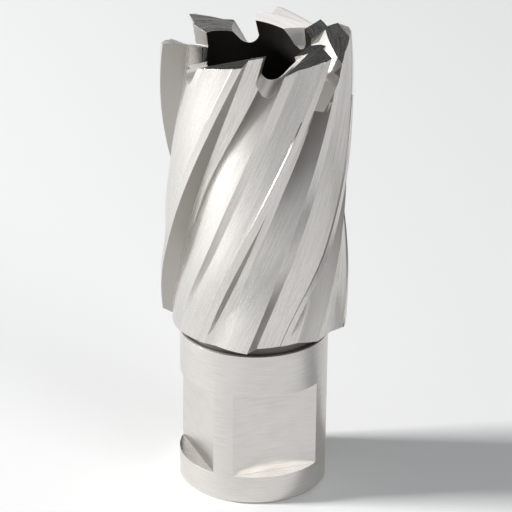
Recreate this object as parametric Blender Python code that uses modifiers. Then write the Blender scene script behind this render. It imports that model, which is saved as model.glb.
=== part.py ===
# Annular cutter with a straight shank and two side-lock flats, ground from one bar of high speed steel.
# Metres, +Z up. The cutter stands on its shank end, its teeth point up and its axis is Z.
# Angles are degrees from +X, anticlockwise from above, which is also the way the teeth cut.

import math

import bmesh
import bpy
from mathutils import Matrix, Vector

MM = 0.001
PART_NAME = "annular_cutter"

# Shank
SHANK_DIAMETER = 19.05 * MM
SHANK_LENGTH = 21.0 * MM
SHANK_END_CHAMFER = 0.25 * MM
SHANK_TOP_CHAMFER = 0.15 * MM
NECK_DIAMETER = 17.9 * MM
NECK_LENGTH = 1.4 * MM
FLAT_DEPTH = 1.9 * MM
FLAT_BOTTOM = 3.8 * MM
FLAT_HEIGHT = 11.4 * MM
FLAT_ANGLES = (-68.5, -158.5)

# Body
BODY_LENGTH = 37.6 * MM
CUTTER_DIAMETER = 23.9 * MM
BACK_TAPER = 0.05 * MM
SLUG_BORE_DIAMETER = 13.6 * MM
SLUG_BORE_DEPTH = 31.0 * MM
DRILL_POINT_ANGLE = 118.0
PILOT_HOLE_DIAMETER = 6.4 * MM
PILOT_HOLE_CHAMFER = 0.5 * MM
HELIX_LEAD = 160.0 * MM

# Flutes: one value for each tooth, in the order of TOOTH_ANGLES.
# A tooth's angle is where its outer cutting edge meets the tip plane.
TOOTH_ANGLES = (-98.6, -41.0, 19.0, 78.0, 136.0, 196.0)
MARGIN_ARC = 5.0
LAND_STEP_ARC = 0.5
FLUTE_WALL_AT_TIP = (2.0, 9.0, 2.5, 1.5, 11.0, 2.0)
FLUTE_WALL_ARC = 3.5
FLUTE_WALL_AT_NECK = (6.0, 2.0, 6.0, 6.0, 6.0, 6.0)
FLUTE_FLOOR_ARC = 9.0
FLUTE_FLOOR_AT_TIP = (18.5, 18.0, 13.5, 27.5, 23.5, 14.0)
FLUTE_MIN_ARC = 1.5
WEB_EDGE_AT_TIP = (28.5, 16.0, 17.0, 31.5, 30.0, 41.0)
WEB_EDGE_AT_NECK = (36.0, 31.5, 21.5, 30.0, 30.0, 40.0)
WEB_WALL_AT_TIP = (9.5, 14.0, 14.0, 6.0, 6.0, 6.0)
WEB_WALL_AT_NECK = (1.5, 6.0, 18.0, 6.0, 6.0, 6.0)
NECK_SHIFT = (-5.0, 0.0, 0.0, -5.0, 0.0, 0.0)

# Depths below the cutter's outside: flute floor, web edge, web foot and the land behind the margin
FLUTE_DEPTH_AT_TIP = (2.6 * MM, 2.6 * MM, 2.65 * MM, 2.6 * MM, 2.6 * MM, 2.7 * MM)
FLUTE_DEPTH = 2.05 * MM
WEB_EDGE_DEPTH = 0.55 * MM
WEB_FOOT_DEPTH = (1.05 * MM, 1.05 * MM, 1.05 * MM, 1.05 * MM, 1.05 * MM, 0.52 * MM)
LAND_DEPTH = 0.18 * MM

# The same depths where the flutes run out at the neck, tooth by tooth
RUNOUT_LENGTH = 13.0 * MM
RUNOUT_MARGIN = (0.0, 1.18 * MM, 1.85 * MM, 0.0, 0.0, 0.0)
RUNOUT_FLUTE = (1.45 * MM, 1.30 * MM, 1.90 * MM, 1.60 * MM, 1.60 * MM, 1.60 * MM)
RUNOUT_WEB_EDGE = (1.22 * MM, 0.0, 0.70 * MM, 0.50 * MM, 0.50 * MM, 0.50 * MM)
RUNOUT_WEB_FOOT = (1.26 * MM, 1.65 * MM, 1.00 * MM, 1.10 * MM, 1.10 * MM, 1.10 * MM)
RUNOUT_LAND = (0.15 * MM, 1.30 * MM, 1.92 * MM, 0.15 * MM, 0.15 * MM, 0.15 * MM)

# Tooth tops: the inner edge leads the outer one by INNER_LEAD degrees, and each edge has its own ground facet.
INNER_LEAD = (16.1, 15.5, 11.0, 13.0, 21.0, 11.5)
INNER_CORNER_DROP = (0.27 * MM, 0.27 * MM, 0.27 * MM, 0.27 * MM, 0.27 * MM, 0.45 * MM)
INNER_TOP_SLOPE = (0.33, 0.30, 0.29, 0.18, 0.22, 0.20)
OUTER_TOP_SLOPE = (0.02, 0.08, -0.33, 0.10, 0.22, 0.02)
TOP_RELIEF_SLOPE = (0.20, 0.20, 0.23, 0.20, 0.17, 0.20)
INNER_TOP_END = 0.45
OUTER_TOP_END = 0.62
TOP_STOCK = 1.2 * MM

# Gullets: round bottomed slots through the wall, their floors falling outwards
GULLET_RADIUS_AT_BORE = (1.45 * MM, 1.45 * MM, 1.40 * MM, 1.38 * MM, 1.45 * MM, 1.45 * MM)
GULLET_RADIUS_AT_RIM = (1.45 * MM, 0.95 * MM, 1.40 * MM, 1.38 * MM, 1.45 * MM, 1.70 * MM)
GULLET_DEPTH = (3.1 * MM, 3.1 * MM, 2.8 * MM, 2.9 * MM, 3.1 * MM, 3.2 * MM)
GULLET_SWEEP = (22.0, 18.0, 2.0, 16.0, 34.0, -4.0)
GULLET_FALL = (13.0, 13.0, 13.0, 25.0, 13.0, 4.0)
GULLET_RAKE_ANGLE = (14.0, 17.0, 14.0, 14.0, 14.0, 4.0)
GULLET_HEEL_AT_BORE = 43.0
GULLET_START = 0.6
GULLET_HEEL_AT_RIM = (16.0, 4.0, 16.0, 24.0, 16.0, 20.0)

# Facets
LOFT_LEVELS = 32
FLOOR_STEPS = 2
FLUTE_STEPS = 5
LAND_STEPS = 6
ROUND_STEPS = 72
GULLET_STEPS = 9
GULLET_LEVELS = 14
HEEL_STEPS = 6
SHARP_ANGLE = 25.0

neck_z = SHANK_LENGTH + NECK_LENGTH
tip_z = neck_z + BODY_LENGTH
outer_r = CUTTER_DIAMETER / 2
bore_r = SLUG_BORE_DIAMETER / 2
teeth = len(TOOTH_ANGLES)


def polar(radius, degrees, z):
    angle = math.radians(degrees)
    return Vector((radius * math.cos(angle), radius * math.sin(angle), z))


def mix(a, b, share):
    return a + (b - a) * share


def ease(share):
    share = min(max(share, 0.0), 1.0)
    return share * share * (3.0 - 2.0 * share)


def clear_scene():
    for item in list(bpy.data.objects):
        bpy.data.objects.remove(item, do_unlink=True)


def new_collection(name):
    collection = bpy.data.collections.new(name)
    bpy.context.scene.collection.children.link(collection)
    return collection


def mesh_object(name, bm, collection):
    bmesh.ops.recalc_face_normals(bm, faces=bm.faces)
    mesh = bpy.data.meshes.new(name)
    bm.to_mesh(mesh)
    bm.free()
    item = bpy.data.objects.new(name, mesh)
    collection.objects.link(item)
    return item


def hide_cutter(item):
    item.hide_render = True
    item.display_type = "WIRE"
    return item


# A profile of (radius, z) points, spun about Z by a Screw modifier
def turned(name, profile, collection):
    bm = bmesh.new()
    verts = [bm.verts.new((radius, 0.0, z)) for radius, z in profile]
    for a, b in zip(verts, verts[1:]):
        bm.edges.new((a, b))
    mesh = bpy.data.meshes.new(name)
    bm.to_mesh(mesh)
    bm.free()
    item = bpy.data.objects.new(name, mesh)
    collection.objects.link(item)
    screw = item.modifiers.new("Spin", "SCREW")
    screw.steps = ROUND_STEPS
    screw.render_steps = ROUND_STEPS
    screw.use_merge_vertices = True
    screw.merge_threshold = 0.00001
    return item


def boolean(target, cutter, operation):
    modifier = target.modifiers.new(f"{operation} {cutter.name}", "BOOLEAN")
    modifier.operation = operation
    modifier.object = cutter
    modifier.solver = "EXACT"


# Depths below the outside at height z for one tooth, and its angles behind the margin's edge
def flute_section(tooth, z):
    height = (z - neck_z) / BODY_LENGTH
    runout = 1.0 - ease((z - neck_z) / RUNOUT_LENGTH)
    near_tip = ease(height * 2.0 - 1.0)
    wall = mix(FLUTE_WALL_ARC, FLUTE_WALL_AT_NECK[tooth], runout)
    flute = mix(FLUTE_DEPTH, FLUTE_DEPTH_AT_TIP[tooth], near_tip)
    floor_arc = mix(FLUTE_FLOOR_ARC, FLUTE_FLOOR_AT_TIP[tooth], near_tip)
    web_arc = mix(WEB_EDGE_AT_NECK[tooth], WEB_EDGE_AT_TIP[tooth], height)
    web_arc = max(web_arc, floor_arc + FLUTE_MIN_ARC)
    return {
        "start": TOOTH_ANGLES[tooth] + NECK_SHIFT[tooth] * runout,
        "margin": mix(0.0, RUNOUT_MARGIN[tooth], runout),
        "flute": mix(flute, RUNOUT_FLUTE[tooth], runout),
        "web_edge": mix(WEB_EDGE_DEPTH, RUNOUT_WEB_EDGE[tooth], runout),
        "web_foot": mix(WEB_FOOT_DEPTH[tooth], RUNOUT_WEB_FOOT[tooth], runout),
        "land": mix(LAND_DEPTH, RUNOUT_LAND[(tooth + 1) % teeth], runout),
        "wall_arc": mix(wall, FLUTE_WALL_AT_TIP[tooth], near_tip),
        "floor_arc": floor_arc,
        "web_arc": web_arc,
        "foot_arc": web_arc + mix(WEB_WALL_AT_NECK[tooth], WEB_WALL_AT_TIP[tooth], height),
    }


# The outline at height z, one tooth after another, anticlockwise
def section_ring(z):
    turn = 360.0 * (z - tip_z) / HELIX_LEAD
    outside = outer_r - BACK_TAPER * (tip_z - z) / BODY_LENGTH
    ring = []
    for tooth in range(teeth):
        part = flute_section(tooth, z)
        following = flute_section((tooth + 1) % teeth, z)
        pitch = (following["start"] - part["start"]) % 360.0
        points = [(0.0, part["margin"])]
        for step in range(FLOOR_STEPS + 1):
            share = step / FLOOR_STEPS
            points.append((mix(part["wall_arc"], part["floor_arc"], share), part["flute"]))
        for step in range(1, FLUTE_STEPS + 1):
            share = step / FLUTE_STEPS
            angle = mix(part["floor_arc"], part["web_arc"], share)
            points.append((angle, mix(part["flute"], part["web_edge"], share)))
        land_end = pitch - MARGIN_ARC - LAND_STEP_ARC
        for step in range(LAND_STEPS + 1):
            share = step / LAND_STEPS
            points.append((mix(part["foot_arc"], land_end, share), mix(part["web_foot"], part["land"], share)))
        points.append((pitch - MARGIN_ARC, following["margin"]))
        for angle, below in points:
            ring.append(polar(outside - below, part["start"] + angle + turn, z))
    return ring


# A loft through sections that turn with the helix and change where the flutes run out
def fluted_body(collection):
    bm = bmesh.new()
    top = tip_z + TOP_STOCK
    rings = []
    for level in range(LOFT_LEVELS + 1):
        z = mix(neck_z, top, level / LOFT_LEVELS)
        rings.append([bm.verts.new(point) for point in section_ring(z)])
    count = len(rings[0])
    for low, high in zip(rings, rings[1:]):
        for i in range(count):
            j = (i + 1) % count
            bm.faces.new((low[i], low[j], high[j], high[i]))
    bm.faces.new(reversed(rings[0]))
    bm.faces.new(rings[-1])
    return mesh_object(PART_NAME, bm, collection)


# Shank and neck
def shank(collection):
    radius = SHANK_DIAMETER / 2
    profile = [
        (0.0, neck_z + NECK_LENGTH),
        (NECK_DIAMETER / 2, neck_z + NECK_LENGTH),
        (NECK_DIAMETER / 2, SHANK_LENGTH),
        (radius - SHANK_TOP_CHAMFER, SHANK_LENGTH),
        (radius, SHANK_LENGTH - SHANK_TOP_CHAMFER),
        (radius, SHANK_END_CHAMFER),
        (radius - SHANK_END_CHAMFER, 0.0),
        (0.0, 0.0),
    ]
    return hide_cutter(turned("shank_blank", profile, collection))


# Slug bore from the teeth down, drill point, and the pilot pin hole through the shank
def holes(collection):
    pilot_r = PILOT_HOLE_DIAMETER / 2
    floor_z = tip_z - SLUG_BORE_DEPTH
    cone = (bore_r - pilot_r) / math.tan(math.radians(DRILL_POINT_ANGLE / 2))
    over = TOP_STOCK * 2
    profile = [
        (0.0, tip_z + over),
        (bore_r, tip_z + over),
        (bore_r, floor_z),
        (pilot_r, floor_z - cone),
        (pilot_r, PILOT_HOLE_CHAMFER),
        (pilot_r + PILOT_HOLE_CHAMFER + over, -over),
        (0.0, -over),
    ]
    return hide_cutter(turned("bore_cutter", profile, collection))


# A box that leaves a flat at FLAT_DEPTH below the shank's surface
def shank_flat(index, degrees, collection):
    side = SHANK_DIAMETER
    bm = bmesh.new()
    bmesh.ops.create_cube(bm, size=1.0)
    bmesh.ops.scale(bm, vec=(side, side * 1.5, FLAT_HEIGHT), verts=bm.verts)
    centre = SHANK_DIAMETER / 2 - FLAT_DEPTH + side / 2
    bmesh.ops.translate(bm, vec=(centre, 0.0, FLAT_BOTTOM + FLAT_HEIGHT / 2), verts=bm.verts)
    bmesh.ops.rotate(bm, matrix=Matrix.Rotation(math.radians(degrees), 3, "Z"), verts=bm.verts)
    return hide_cutter(mesh_object(f"flat_cutter_{index + 1}", bm, collection))


# A gullet's floor circle at a distance from the axis, seen along the slot: its radius, its place across
# the slot and its height. The rake line leans back from the inner corner and touches the circle.
def floor_circle(tooth, distance):
    share = (distance - bore_r) / (outer_r - bore_r)
    radius = mix(GULLET_RADIUS_AT_BORE[tooth], GULLET_RADIUS_AT_RIM[tooth], share)
    rake = math.radians(GULLET_RAKE_ANGLE[tooth])
    rise = GULLET_DEPTH[tooth] - radius
    across = radius / math.cos(rake) - rise * math.tan(rake)
    return radius, across, tip_z - INNER_CORNER_DROP[tooth] - rise


# A point inside the swept slot, seen from above, a share of the floor's radius past its middle
def slot_middle(tooth, distance, share):
    radius, across, _ = floor_circle(tooth, distance)
    place = Vector((distance - bore_r, across + radius * share, 0.0))
    swept = Matrix.Rotation(math.radians(-GULLET_SWEEP[tooth]), 3, "Z") @ place
    corner = math.radians(TOOTH_ANGLES[tooth] + INNER_LEAD[tooth])
    return Matrix.Rotation(corner, 3, "Z") @ (swept + Vector((bore_r, 0.0, 0.0)))


# The slot's outline at a distance from the axis, whose heel line grows steeper outwards
def gullet_outline(tooth, distance):
    rake = math.radians(GULLET_RAKE_ANGLE[tooth])
    at_bore = math.tan(math.radians(GULLET_HEEL_AT_BORE))
    at_rim = math.tan(math.radians(GULLET_HEEL_AT_RIM[tooth]))
    heel = math.atan(mix(at_bore, at_rim, (distance - bore_r) / (outer_r - bore_r)))
    radius, centre_x, centre_z = floor_circle(tooth, distance)
    top_z = tip_z + TOP_STOCK * 4
    outline = []
    for step in range(GULLET_STEPS + 1):
        angle = mix(math.pi + rake, 2 * math.pi - heel, step / GULLET_STEPS)
        outline.append((centre_x + radius * math.cos(angle), centre_z + radius * math.sin(angle)))
    left_x, left_z = outline[0]
    right_x, right_z = outline[-1]
    for step in range(1, HEEL_STEPS + 1):
        z = mix(right_z, top_z, step / HEEL_STEPS)
        outline.append((right_x + (z - right_z) * math.tan(heel), z))
    outline.append((left_x + (top_z - left_z) * math.tan(rake), top_z))
    return [Vector((distance, x, z)) for x, z in outline]


# A U-shaped slot in front of the tooth's inner edge, swept back and falling outwards
def gullet(tooth, collection):
    corner = TOOTH_ANGLES[tooth] + INNER_LEAD[tooth]
    bm = bmesh.new()
    outlines = []
    for level in range(GULLET_LEVELS + 1):
        distance = mix(bore_r * GULLET_START, outer_r * 1.2, level / GULLET_LEVELS)
        outlines.append([bm.verts.new(point) for point in gullet_outline(tooth, distance)])
    for near, far in zip(outlines, outlines[1:]):
        for i in range(len(near)):
            j = (i + 1) % len(near)
            bm.faces.new((near[j], near[i], far[i], far[j]))
    bm.faces.new(outlines[0])
    bm.faces.new(reversed(outlines[-1]))
    # The slot tilts and sweeps about the bore's wall.
    pivot = Vector((bore_r, 0.0, floor_circle(tooth, bore_r)[2]))
    fall = Matrix.Rotation(math.radians(GULLET_FALL[tooth]), 3, "Y")
    bmesh.ops.rotate(bm, cent=pivot, matrix=fall, verts=bm.verts)
    sweep = Matrix.Rotation(math.radians(-GULLET_SWEEP[tooth]), 3, "Z")
    bmesh.ops.rotate(bm, cent=pivot, matrix=sweep, verts=bm.verts)
    bmesh.ops.rotate(bm, matrix=Matrix.Rotation(math.radians(corner), 3, "Z"), verts=bm.verts)
    return hide_cutter(mesh_object(f"gullet_cutter_{tooth + 1}", bm, collection))


# A wedge over one tooth whose underside is a ground facet through the given point.
# It ends in the middle of the gullets before and behind the tooth.
def top_facet(name, tooth, through, slope, share, collection):
    corner = TOOTH_ANGLES[tooth] + INNER_LEAD[tooth]
    previous = (tooth - 1) % teeth
    pitch = (TOOTH_ANGLES[tooth] - TOOTH_ANGLES[previous]) % 360.0
    along = corner - INNER_LEAD[tooth] / 2
    out = polar(1.0, along, 0.0)
    side = polar(1.0, along + 90.0, 0.0)
    inner = bore_r * 0.6
    outer = outer_r * 1.3
    plan = [
        slot_middle(previous, inner, share),
        slot_middle(previous, outer, share),
        polar(outer * 1.1, TOOTH_ANGLES[tooth] - pitch / 2, 0.0),
        slot_middle(tooth, outer, share),
        slot_middle(tooth, inner, share),
    ]
    bm = bmesh.new()
    bottom = []
    top = []
    for point in plan:
        away = point - Vector((through.x, through.y, 0.0))
        z = through.z + slope * away.dot(out) + TOP_RELIEF_SLOPE[tooth] * away.dot(side)
        bottom.append(bm.verts.new((point.x, point.y, z)))
        top.append(bm.verts.new((point.x, point.y, tip_z + TOP_STOCK * 4)))
    bm.faces.new(reversed(bottom))
    bm.faces.new(top)
    for i in range(len(plan)):
        j = (i + 1) % len(plan)
        bm.faces.new((bottom[i], bottom[j], top[j], top[i]))
    return hide_cutter(mesh_object(f"{name}_{tooth + 1}", bm, collection))


def steel():
    material = bpy.data.materials.new("ground_high_speed_steel")
    material.use_nodes = True
    shader = material.node_tree.nodes["Principled BSDF"]
    shader.inputs["Base Color"].default_value = (0.62, 0.60, 0.58, 1.0)
    shader.inputs["Metallic"].default_value = 1.0
    shader.inputs["Roughness"].default_value = 0.32
    return material


# The cuts are made final, so that smooth and sharp edges follow the finished shape.
def finish_shading(item):
    depsgraph = bpy.context.evaluated_depsgraph_get()
    mesh = bpy.data.meshes.new_from_object(item.evaluated_get(depsgraph))
    mesh.name = item.name
    item.modifiers.clear()
    item.data = mesh
    mesh.shade_smooth()
    mesh.set_sharp_from_angle(angle=math.radians(SHARP_ANGLE))


def build():
    clear_scene()
    parts = new_collection(PART_NAME)
    cutters = new_collection("cutters")
    cutter = fluted_body(parts)
    boolean(cutter, shank(cutters), "UNION")
    boolean(cutter, holes(cutters), "DIFFERENCE")
    for index, degrees in enumerate(FLAT_ANGLES):
        boolean(cutter, shank_flat(index, degrees, cutters), "DIFFERENCE")
    # The gullets come first, so that the top facets' cutters end in open space between the teeth.
    for tooth in range(teeth):
        boolean(cutter, gullet(tooth, cutters), "DIFFERENCE")
    for tooth in range(teeth):
        corner = TOOTH_ANGLES[tooth] + INNER_LEAD[tooth]
        inner_point = polar(bore_r, corner, tip_z - INNER_CORNER_DROP[tooth])
        outer_point = polar(outer_r, TOOTH_ANGLES[tooth], tip_z)
        inner_top = top_facet("inner_top", tooth, inner_point, INNER_TOP_SLOPE[tooth], INNER_TOP_END, cutters)
        outer_top = top_facet("outer_top", tooth, outer_point, OUTER_TOP_SLOPE[tooth], OUTER_TOP_END, cutters)
        boolean(cutter, inner_top, "DIFFERENCE")
        boolean(cutter, outer_top, "DIFFERENCE")
    finish_shading(cutter)
    cutter.data.materials.append(steel())


build()
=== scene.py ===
import math

import bmesh
import bpy
from mathutils import Matrix, Vector


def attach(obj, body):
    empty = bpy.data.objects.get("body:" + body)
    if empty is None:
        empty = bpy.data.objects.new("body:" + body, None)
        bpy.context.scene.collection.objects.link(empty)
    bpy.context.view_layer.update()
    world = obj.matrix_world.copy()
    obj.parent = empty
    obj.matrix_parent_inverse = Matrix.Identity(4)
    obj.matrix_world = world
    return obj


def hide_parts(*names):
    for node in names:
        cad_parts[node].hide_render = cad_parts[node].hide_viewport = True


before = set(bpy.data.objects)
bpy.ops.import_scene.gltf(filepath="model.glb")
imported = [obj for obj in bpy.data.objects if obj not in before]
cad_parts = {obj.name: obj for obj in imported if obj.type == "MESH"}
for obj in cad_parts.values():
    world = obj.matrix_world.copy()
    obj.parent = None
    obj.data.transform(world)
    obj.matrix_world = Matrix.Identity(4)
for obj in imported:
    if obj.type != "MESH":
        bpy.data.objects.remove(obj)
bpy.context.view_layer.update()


def hexToLinear(code):
    # sRGB hex to the linear values that the shaders use, with full opacity
    channels = [int(code[i:i + 2], 16) / 255 for i in (1, 3, 5)]
    linear = [c / 12.92 if c <= 0.04045 else ((c + 0.055) / 1.055) ** 2.4 for c in channels]
    return (*linear, 1.0)


def addNode(tree, kind, settings=None, inputs=None):
    # inputs: socket name or number -> a value, or an output socket to link from
    node = tree.nodes.new(kind)
    for key, value in (settings or {}).items():
        setattr(node, key, value)
    for key, value in (inputs or {}).items():
        if isinstance(value, bpy.types.NodeSocket):
            tree.links.new(value, node.inputs[key])
        else:
            node.inputs[key].default_value = value
    return node


# Camera, fitted to the photograph's circles
cameraView = {
    "focalPixels": 2700,
    "framePixels": 512,
    "sensorWidth": 36,  # millimetres, as on a full frame camera
    "clipStart": 0.01,
    "distance": 0.3431,
    "elevation": 23.67,
    "targetHeight": 0.030,
    "roll": 0.652,
    "shiftPixels": (1.17, 4.19),
}


def placeCamera(view):
    data = bpy.data.cameras.new("photoCamera")
    data.sensor_width = view["sensorWidth"]
    data.lens = view["focalPixels"] / view["framePixels"] * view["sensorWidth"]
    data.clip_start = view["clipStart"]
    data.shift_x = view["shiftPixels"][0] / view["framePixels"]
    data.shift_y = view["shiftPixels"][1] / view["framePixels"]
    camera = bpy.data.objects.new("photoCamera", data)
    bpy.context.scene.collection.objects.link(camera)
    tilt = math.radians(view["elevation"])
    forward = Vector((0, math.cos(tilt), -math.sin(tilt)))
    right = Vector((1, 0, 0))
    up = right.cross(forward)
    turn = Matrix((right, up, -forward)).transposed() @ Matrix.Rotation(math.radians(view["roll"]), 3, "Z")
    place = Vector((0, 0, view["targetHeight"])) - forward * view["distance"]
    camera.matrix_world = Matrix.Translation(place) @ turn.to_4x4()
    bpy.context.scene.camera = camera


placeCamera(cameraView)
print("camera placed")


# Steel
steelLook = {
    "ground": "#DDDAD6",  # high speed steel, bright and a little warm
    "groundShade": "#CFCCC8",
    "wall": "#ABA7A2",  # painted shade: a darker grey on the upright steps beside the flutes, which also keep a coarser grind
    # painted sheen: the gullets are coloured paler than the ground steel
    "gullet": "#F0EDE8",
    "neck": "#77736E",  # painted shade: the groove under the body is coloured dark grey for the shade of the body's overhang; it is also turned, not ground
    # painted shade: near-black for the shade inside the bore
    "bore": "#1D1B17",
    "edge": 0.00006,  # metres that the shading rounds an edge, so that it catches a thin light line
    "edgeSamples": 4,
    "markWidth": 0.00016,  # wheel marks are finer; drawn this wide so that they show
    "markDepth": 0.00001,
    "helixLead": 0.160,  # metres for one turn of the flutes
    "fluteStretch": 0.025,  # a mark's width over its length, up the flute
    "bandWidth": 0.00064,  # broader bands between the flutes' fine marks
    "bandShare": 0.35,
    "fluteSpan": (0.50, 0.80),  # the part of the pattern that goes from shade to bright
    "fluteRoughness": (0.34, 0.24),
    "fluteBump": 0.06,
    "wallFacing": (0.93, 0.72),  # outward share of the normal where a step begins, and where it is full
    "wallRoughness": 0.4,
    "ringWidth": 0.00012,  # the shank's rings, also drawn wider than they are
    "ringStretch": 0.04,
    "cloudScale": 350.0,  # per metre, for soft patches about 3 mm wide
    "cloudShare": 0.4,
    "shankSpan": (0.45, 0.90),
    "shankRoughSpan": (0.45, 0.95),
    "shankRoughness": (0.42, 0.34),
    "shankBump": 0.1,
    "toothStretch": 0.05,
    "toothSpan": (0.3, 0.7),
    "toothRoughness": (0.22, 0.34),
    "toothBump": 0.15,
    "scaleGrain": 900.0,  # per metre, for patches of roughness about 1 mm wide
    "scaleSpan": (0.3, 0.7),
    "scaleRoughness": (0.5, 0.7),
    "scaleMetallic": 0.6,
    "gulletRoughness": 0.5,
    "gulletMetallic": 0.6,
    "neckRoughness": 0.6,
}


def startMaterial(name):
    material = bpy.data.materials.new(name)
    material.use_nodes = True
    tree = material.node_tree
    return material, tree, tree.nodes["Principled BSDF"]


def fluteGroundSteel(look):
    # High speed steel, flutes ground along the helix: satin with long fine streaks; the upright steps get
    # a coarser grind and painted shade, a darker grey set by the way they face
    material, tree, shader = startMaterial("flute_ground_high_speed_steel")
    texture = addNode(tree, "ShaderNodeTexCoord")
    place = texture.outputs["Object"]
    split = addNode(tree, "ShaderNodeSeparateXYZ", inputs={0: place})
    angle = addNode(tree, "ShaderNodeMath", {"operation": "MULTIPLY"},
                    {0: split.outputs["Z"], 1: -2 * math.pi / look["helixLead"]})
    untwisted = addNode(tree, "ShaderNodeVectorRotate", {"rotation_type": "Z_AXIS"},
                        {"Vector": place, "Angle": angle.outputs[0]})
    drawn = addNode(tree, "ShaderNodeMapping", inputs={
        "Vector": untwisted.outputs[0], "Scale": (1, 1, look["fluteStretch"])})
    fine = addNode(tree, "ShaderNodeTexNoise", inputs={
        "Vector": drawn.outputs[0], "Scale": 1 / look["markWidth"], "Detail": 3.0, "Roughness": 0.6})
    broad = addNode(tree, "ShaderNodeTexNoise", inputs={
        "Vector": drawn.outputs[0], "Scale": 1 / look["bandWidth"], "Detail": 2.0, "Roughness": 0.5})
    both = addNode(tree, "ShaderNodeMath", {"operation": "MULTIPLY_ADD"},
                   {0: broad.outputs["Fac"], 1: look["bandShare"], 2: fine.outputs["Fac"]})
    dark, bright = look["fluteSpan"]
    colour = addNode(tree, "ShaderNodeValToRGB", inputs={"Fac": both.outputs[0]})
    colour.color_ramp.elements[0].position = dark
    colour.color_ramp.elements[0].color = hexToLinear(look["groundShade"])
    colour.color_ramp.elements[1].position = bright
    colour.color_ramp.elements[1].color = hexToLinear(look["ground"])
    rough = addNode(tree, "ShaderNodeMapRange", inputs={
        "Value": both.outputs[0], "From Min": dark, "From Max": bright,
        "To Min": look["fluteRoughness"][0], "To Max": look["fluteRoughness"][1]})

    # How far a face turns sideways from its flute: 0 on the flute and 1 on an upright step, which gets
    # painted shade and more roughness
    flat = addNode(tree, "ShaderNodeVectorMath", {"operation": "MULTIPLY"}, {0: place, 1: (1, 1, 0)})
    outward = addNode(tree, "ShaderNodeVectorMath", {"operation": "NORMALIZE"}, {0: flat.outputs[0]})
    facing = addNode(tree, "ShaderNodeVectorMath", {"operation": "DOT_PRODUCT"},
                     {0: texture.outputs["Normal"], 1: outward.outputs[0]})
    steep = addNode(tree, "ShaderNodeMapRange", {"interpolation_type": "SMOOTHSTEP"}, {
        "Value": facing.outputs["Value"],
        "From Min": look["wallFacing"][0], "From Max": look["wallFacing"][1]})
    # Painted shade: upright steps are coloured a darker grey
    stepped = addNode(tree, "ShaderNodeMix", {"data_type": "RGBA"},
                      {0: steep.outputs[0], 6: colour.outputs[0], 7: hexToLinear(look["wall"])})
    dulled = addNode(tree, "ShaderNodeMix", {"data_type": "FLOAT"},
                     {0: steep.outputs[0], 2: rough.outputs[0], 3: look["wallRoughness"]})

    edges = addNode(tree, "ShaderNodeBevel", {"samples": look["edgeSamples"]}, {"Radius": look["edge"]})
    bump = addNode(tree, "ShaderNodeBump", inputs={
        "Strength": look["fluteBump"], "Distance": look["markDepth"],
        "Height": fine.outputs["Fac"], "Normal": edges.outputs[0]})
    tree.links.new(stepped.outputs[2], shader.inputs["Base Color"])
    tree.links.new(dulled.outputs[0], shader.inputs["Roughness"])
    tree.links.new(bump.outputs[0], shader.inputs["Normal"])
    shader.inputs["Metallic"].default_value = 1.0
    return material


def roundGroundSteel(look):
    # The same steel, shank ground while it turns: even satin with faint level rings
    material, tree, shader = startMaterial("cylindrically_ground_high_speed_steel")
    place = addNode(tree, "ShaderNodeTexCoord").outputs["Object"]
    drawn = addNode(tree, "ShaderNodeMapping", inputs={
        "Vector": place, "Scale": (look["ringStretch"], look["ringStretch"], 1)})
    fine = addNode(tree, "ShaderNodeTexNoise", inputs={
        "Vector": drawn.outputs[0], "Scale": 1 / look["ringWidth"], "Detail": 3.0, "Roughness": 0.6})
    cloudy = addNode(tree, "ShaderNodeTexNoise", inputs={
        "Vector": place, "Scale": look["cloudScale"], "Detail": 3.0, "Roughness": 0.55})
    both = addNode(tree, "ShaderNodeMath", {"operation": "MULTIPLY_ADD"},
                   {0: cloudy.outputs["Fac"], 1: look["cloudShare"], 2: fine.outputs["Fac"]})
    colour = addNode(tree, "ShaderNodeValToRGB", inputs={"Fac": both.outputs[0]})
    colour.color_ramp.elements[0].position = look["shankSpan"][0]
    colour.color_ramp.elements[0].color = hexToLinear(look["groundShade"])
    colour.color_ramp.elements[1].position = look["shankSpan"][1]
    colour.color_ramp.elements[1].color = hexToLinear(look["ground"])
    rough = addNode(tree, "ShaderNodeMapRange", inputs={
        "Value": both.outputs[0],
        "From Min": look["shankRoughSpan"][0], "From Max": look["shankRoughSpan"][1],
        "To Min": look["shankRoughness"][0], "To Max": look["shankRoughness"][1]})
    edges = addNode(tree, "ShaderNodeBevel", {"samples": look["edgeSamples"]}, {"Radius": look["edge"]})
    bump = addNode(tree, "ShaderNodeBump", inputs={
        "Strength": look["shankBump"], "Distance": look["markDepth"],
        "Height": fine.outputs["Fac"], "Normal": edges.outputs[0]})
    tree.links.new(colour.outputs[0], shader.inputs["Base Color"])
    tree.links.new(rough.outputs[0], shader.inputs["Roughness"])
    tree.links.new(bump.outputs[0], shader.inputs["Normal"])
    shader.inputs["Metallic"].default_value = 1.0
    return material


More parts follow.
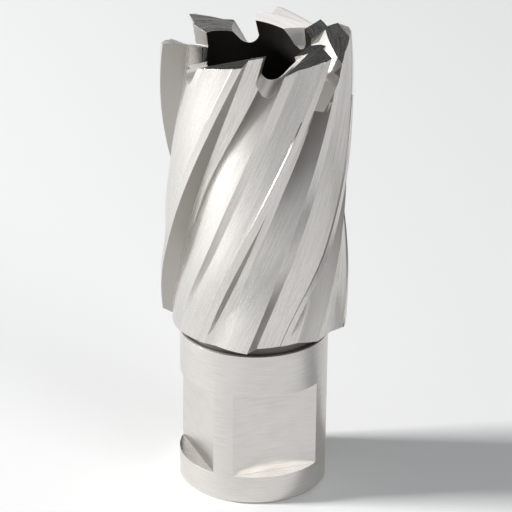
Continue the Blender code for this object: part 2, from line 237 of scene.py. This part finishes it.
def toolGroundSteel(look):
    # The same steel, tooth tops ground with a fine wheel: brighter and sharper, fine marks round the rim
    material, tree, shader = startMaterial("finely_ground_high_speed_steel")
    place = addNode(tree, "ShaderNodeTexCoord").outputs["Object"]
    flat = addNode(tree, "ShaderNodeVectorMath", {"operation": "MULTIPLY"}, {0: place, 1: (1, 1, 0)})
    radius = addNode(tree, "ShaderNodeVectorMath", {"operation": "LENGTH"}, {0: flat.outputs[0]})
    drawn = addNode(tree, "ShaderNodeMapping", inputs={
        "Vector": place, "Scale": (look["toothStretch"],) * 3})
    across = addNode(tree, "ShaderNodeCombineXYZ", inputs={"X": radius.outputs["Value"]})
    lines = addNode(tree, "ShaderNodeVectorMath", {"operation": "ADD"},
                    {0: drawn.outputs[0], 1: across.outputs[0]})
    fine = addNode(tree, "ShaderNodeTexNoise", inputs={
        "Vector": lines.outputs[0], "Scale": 1 / look["markWidth"], "Detail": 3.0, "Roughness": 0.6})
    rough = addNode(tree, "ShaderNodeMapRange", inputs={
        "Value": fine.outputs["Fac"],
        "From Min": look["toothSpan"][0], "From Max": look["toothSpan"][1],
        "To Min": look["toothRoughness"][0], "To Max": look["toothRoughness"][1]})
    bump = addNode(tree, "ShaderNodeBump", inputs={
        "Strength": look["toothBump"], "Distance": look["markDepth"], "Height": fine.outputs["Fac"]})
    tree.links.new(rough.outputs[0], shader.inputs["Roughness"])
    tree.links.new(bump.outputs[0], shader.inputs["Normal"])
    shader.inputs["Base Color"].default_value = hexToLinear(look["ground"])
    shader.inputs["Metallic"].default_value = 1.0
    return material


def hardenedBoreSteel(look):
    # The drilled bore: coloured nearly black as painted shade inside the hole, dull, with patches of
    # roughness
    material, tree, shader = startMaterial("hardening_scale_on_steel")
    place = addNode(tree, "ShaderNodeTexCoord").outputs["Object"]
    cloudy = addNode(tree, "ShaderNodeTexNoise", inputs={
        "Vector": place, "Scale": look["scaleGrain"], "Detail": 4.0})
    rough = addNode(tree, "ShaderNodeMapRange", inputs={
        "Value": cloudy.outputs["Fac"],
        "From Min": look["scaleSpan"][0], "From Max": look["scaleSpan"][1],
        "To Min": look["scaleRoughness"][0], "To Max": look["scaleRoughness"][1]})
    tree.links.new(rough.outputs[0], shader.inputs["Roughness"])
    shader.inputs["Base Color"].default_value = hexToLinear(look["bore"])
    shader.inputs["Metallic"].default_value = look["scaleMetallic"]
    return material


def turnedNeckSteel(look):
    # The groove under the body is left as turned and hardened: rough, without a shine; its dark grey is
    # painted shade from the body's overhang
    material, tree, shader = startMaterial("turned_steel")
    shader.inputs["Base Color"].default_value = hexToLinear(look["neck"])
    shader.inputs["Roughness"].default_value = look["neckRoughness"]
    shader.inputs["Metallic"].default_value = 1.0
    return material


def gulletGroundSteel(look):
    # The gullets are cut with a round wheel and left matt, an even sheen instead of a mirror; their paler
    # colour is a painted sheen that makes them brighter than the steel around them
    material, tree, shader = startMaterial("gullet_ground_high_speed_steel")
    shader.inputs["Base Color"].default_value = hexToLinear(look["gullet"])
    shader.inputs["Roughness"].default_value = look["gulletRoughness"]
    shader.inputs["Metallic"].default_value = look["gulletMetallic"]
    return material


finishes = {
    "flutes": fluteGroundSteel,
    "shank": roundGroundSteel,
    "toothTops": toolGroundSteel,  # and the ledges under the shank's flats
    "bore": hardenedBoreSteel,
    "neck": turnedNeckSteel,
    "gullets": gulletGroundSteel,
}


# The cutter
cutterShape = {
    "node": "annular_cutter",
    "weld": 0.000004,  # metres within which points of the loose triangles are one point
    "sharpAngle": 14,  # degrees past which an edge stays sharp
    "boreRadius": 0.0068,
    "boreSlack": 1.01,  # the bore's faces lie within this many times its radius
    "chamferTop": 0.0006,  # the chamfer below the pilot hole is ground like the shank
    "ledgeTop": 0.0060,  # the ledges under the flats lie below this height
    "neckBottom": 0.0202,
    "shankTop": 0.0212,
    "neckTop": 0.0229,
    "neckRadius": 0.0094,
    "crownBottom": 0.0530,  # the tooth tops and gullets lie above this height
    "rakeBottom": 0.0556,  # and the inner faces in front of the teeth above this one
    "fluteFloorRadius": 0.0094,
    "facetArea": 0.0000025,  # square metres between a gullet's strips and a tooth's flat facets
    "inward": 0.2,  # a face whose normal has less outward share than this looks into the cutter
    "ledgeSlope": 0.9,  # least upward share of a normal on a ledge, in the neck and on a tooth top
    "neckSlope": 0.3,
    "toothSlope": 0.35,
}


def roundedNormal(face):
    return tuple(round(part, 2) for part in face.normal)


def finishOf(face, shape, facets):
    # facets: area of all faces that look the same way, large for a flat facet and small in a round gullet
    place = face.calc_center_median()
    outward = Vector((place.x, place.y, 0))
    radius = outward.length
    facing = face.normal.dot(outward.normalized()) if radius > 0 else 0
    inward = facing < shape["inward"]
    if radius < shape["boreRadius"] * shape["boreSlack"] and inward and place.z > shape["chamferTop"]:
        return "bore"
    sloping = radius < shape["neckRadius"] or face.normal.z > shape["neckSlope"]
    if shape["neckBottom"] < place.z < shape["neckTop"] and sloping:
        return "neck"
    if place.z < shape["ledgeTop"] and face.normal.z > shape["ledgeSlope"]:
        return "toothTops"
    if place.z < shape["shankTop"]:
        return "shank"
    onTop = place.z > shape["crownBottom"] and face.normal.z > shape["toothSlope"]
    onRake = place.z > shape["rakeBottom"] and inward and radius < shape["fluteFloorRadius"]
    if onTop or onRake:
        return "toothTops" if facets[roundedNormal(face)] > shape["facetArea"] else "gullets"
    return "flutes"


def makeCutter(shape, look):
    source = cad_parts[shape["node"]]
    bm = bmesh.new()
    bm.from_mesh(source.data)
    bmesh.ops.remove_doubles(bm, verts=bm.verts, dist=shape["weld"])
    bm.normal_update()
    facets = {}
    for face in bm.faces:
        normal = roundedNormal(face)
        facets[normal] = facets.get(normal, 0) + face.calc_area()
    slots = list(finishes)
    for face in bm.faces:
        face.smooth = True
        face.material_index = slots.index(finishOf(face, shape, facets))
    sharpAngle = math.radians(shape["sharpAngle"])
    for edge in bm.edges:
        edge.smooth = not (edge.is_manifold and edge.calc_face_angle(0.0) > sharpAngle)
    mesh = bpy.data.meshes.new("cutterSteel")
    bm.to_mesh(mesh)
    bm.free()
    for makeFinish in finishes.values():
        mesh.materials.append(makeFinish(look))
    piece = bpy.data.objects.new("cutterSteel", mesh)
    bpy.context.scene.collection.objects.link(piece)
    even = piece.modifiers.new("evenNormals", "WEIGHTED_NORMAL")
    even.keep_sharp = True
    return piece


cutter = makeCutter(cutterShape, steelLook)
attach(cutter, "root")
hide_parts(cutterShape["node"])
print("cutter made,", len(cutter.data.polygons), "faces")


# Studio: pale floor, soft lamps, and surroundings that the steel reflects
studio = {
    "floorSize": 6.0,
    "floorDrop": 0.00002,  # keeps the floor just clear of the shank's end
    "floor": "#F8F8F7",
    "floorRoughness": 0.9,
    "floorShine": 0.1,
    "frontLevel": 0.30,  # brightness of the room in front of the cutter, and behind it
    "backLevel": 0.04,
    "roomFade": (-0.3, 0.5),  # how far a direction points to the back where the fade starts and ends
    "room": (0.96, 0.99, 1.04),  # daylight, a little bluer than the lamps
    "lampTarget": (0, 0, 0.03),
    "lamps": (
        {"name": "leftSoftBox", "place": (-0.95, -0.04, 0.42), "size": 0.20, "watts": 16.0},
        {"name": "backSoftBox", "place": (0.30, 0.86, 0.80), "size": 0.58, "watts": 1.4},
        {"name": "rightSoftBox", "place": (0.74, -0.79, 0.585), "size": 0.55, "watts": 3.4},
    ),
}


def makeFloor(look):
    bm = bmesh.new()
    bmesh.ops.create_grid(bm, x_segments=1, y_segments=1, size=look["floorSize"] / 2)
    mesh = bpy.data.meshes.new("paleFloor")
    bm.to_mesh(mesh)
    bm.free()
    floor = bpy.data.objects.new("paleFloor", mesh)
    floor.location.z = -look["floorDrop"]
    bpy.context.scene.collection.objects.link(floor)
    # Painted board, matt and almost white
    material, tree, shader = startMaterial("matt_white_board")
    shader.inputs["Base Color"].default_value = hexToLinear(look["floor"])
    shader.inputs["Roughness"].default_value = look["floorRoughness"]
    shader.inputs["Specular IOR Level"].default_value = look["floorShine"]
    mesh.materials.append(material)


def makeWorld(look):
    world = bpy.data.worlds.new("studioSurround")
    world.use_nodes = True
    bpy.context.scene.world = world
    tree = world.node_tree
    direction = addNode(tree, "ShaderNodeTexCoord").outputs["Generated"]
    split = addNode(tree, "ShaderNodeSeparateXYZ", inputs={0: direction})
    level = addNode(tree, "ShaderNodeMapRange", {"interpolation_type": "SMOOTHSTEP"}, {
        "Value": split.outputs["Y"], "From Min": look["roomFade"][0], "From Max": look["roomFade"][1],
        "To Min": look["frontLevel"], "To Max": look["backLevel"]})
    room = addNode(tree, "ShaderNodeVectorMath", {"operation": "SCALE"},
                   {0: look["room"], "Scale": level.outputs[0]})
    tree.links.new(room.outputs[0], tree.nodes["Background"].inputs["Color"])


def makeLamps(look):
    for lamp in look["lamps"]:
        data = bpy.data.lights.new(lamp["name"], "AREA")
        data.size = lamp["size"]
        data.energy = lamp["watts"]
        light = bpy.data.objects.new(lamp["name"], data)
        bpy.context.scene.collection.objects.link(light)
        light.location = lamp["place"]
        aim = Vector(look["lampTarget"]) - light.location
        light.rotation_euler = aim.to_track_quat("-Z", "Y").to_euler()


makeFloor(studio)
makeWorld(studio)
makeLamps(studio)
bpy.context.scene.view_settings.view_transform = "Standard"
print("studio set")

bpy.context.view_layer.update()
